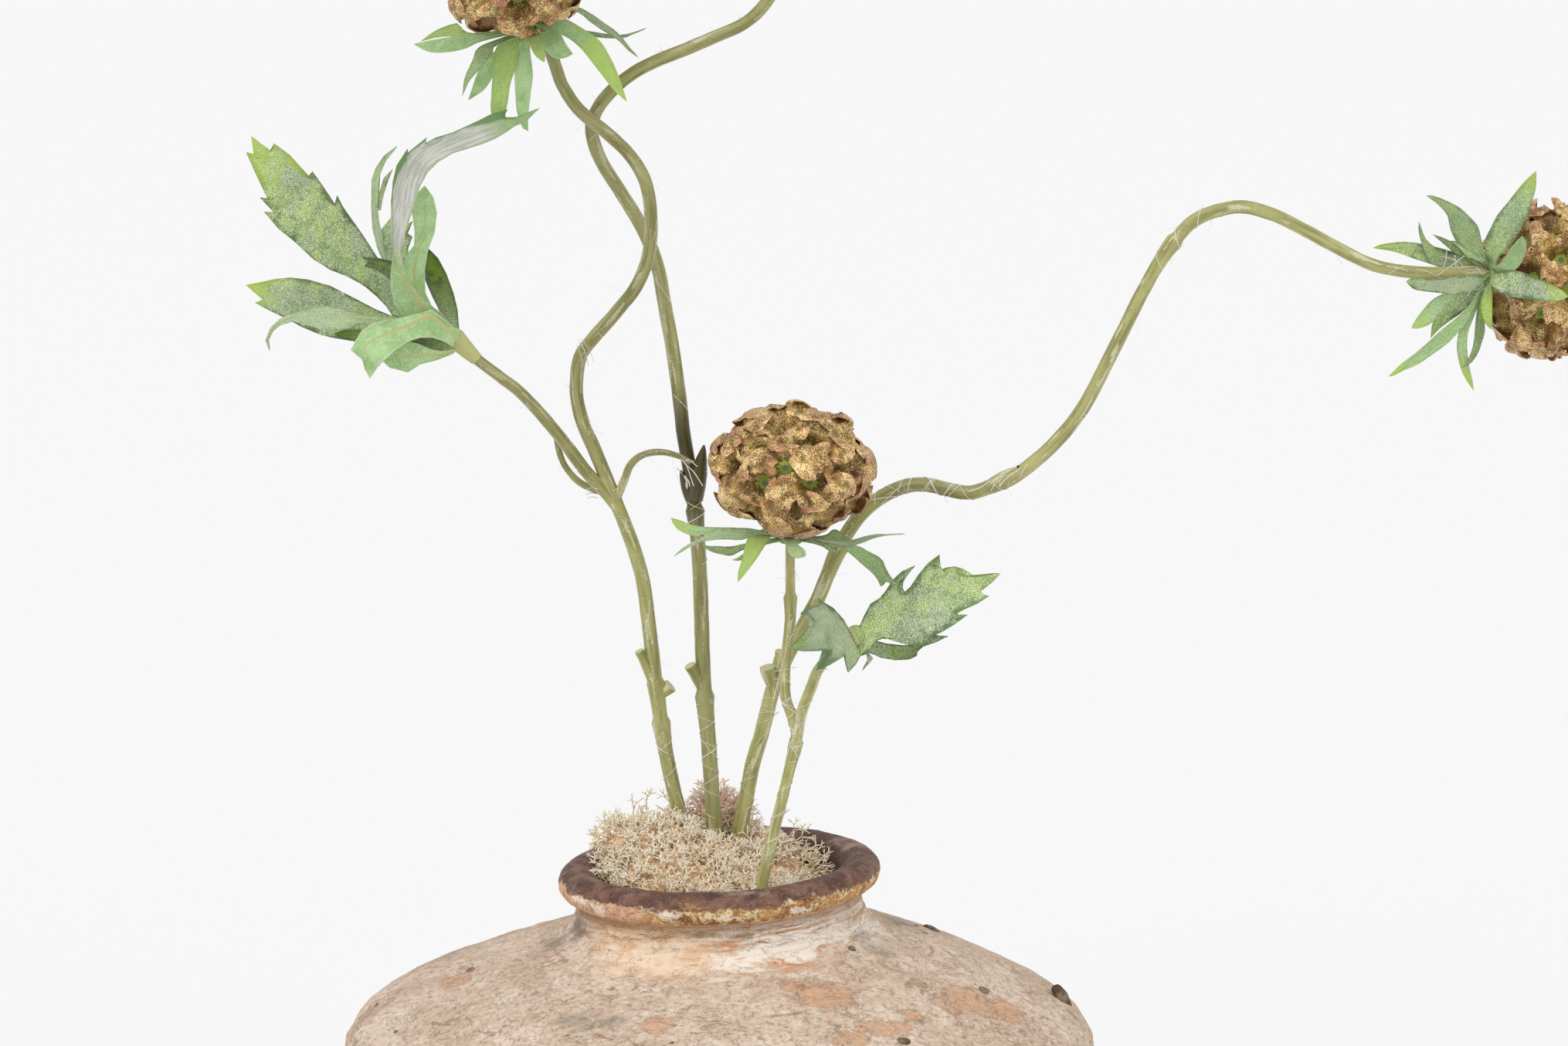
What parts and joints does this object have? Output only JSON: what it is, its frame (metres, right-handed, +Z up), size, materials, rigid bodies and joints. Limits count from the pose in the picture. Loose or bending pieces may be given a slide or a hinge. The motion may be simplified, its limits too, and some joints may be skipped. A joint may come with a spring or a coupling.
{
  "type": "scabiosa arrangement in pot",
  "caption": "Artificial scabiosa stems with ruffled round flower heads and toothed leaves, standing in moss in the narrow mouth of an aged, whitewashed clay pot.",
  "frame": {"origin": "centre of the pot's flat base, on the surface that it stands on", "axes": "+Z up, -Y towards the front of the arrangement, +X to its right, where one stem arches out"},
  "size_m": [0.465, 0.2547, 0.6039],
  "materials": {
    "pot": "rough whitewash worn from fired clay, dark satin lip",
    "foam_core": "dry open-celled foam",
    "moss_cream": "dry reindeer moss, matt",
    "moss_pink": "dry dyed reindeer moss, matt",
    "stem_plastic": "olive coating with pale streaks",
    "petal_fabric": "satin weave, dusty rose edges",
    "leaf_fabric": "woven leaf cloth with a grey-green bloom"
  },
  "bodies": {
    "root": {"pot": "pot", "foam_core": "foam_core", "moss_cream": "moss_cream", "moss_pink": "moss_pink", "stem_left": "stem_plastic", "stem_tall": "stem_plastic", "stem_right": "stem_plastic", "stem_front": "stem_plastic", "head_left": "petal_fabric", "head_front": "petal_fabric", "head_right": "petal_fabric", "head_tall": "petal_fabric", "bracts_left": "leaf_fabric", "bracts_front": "leaf_fabric", "bracts_right": "leaf_fabric", "bracts_tall": "leaf_fabric", "leaf_spray_left": "leaf_fabric", "leaf_spray_right": "leaf_fabric"}
  },
  "joints": []
}
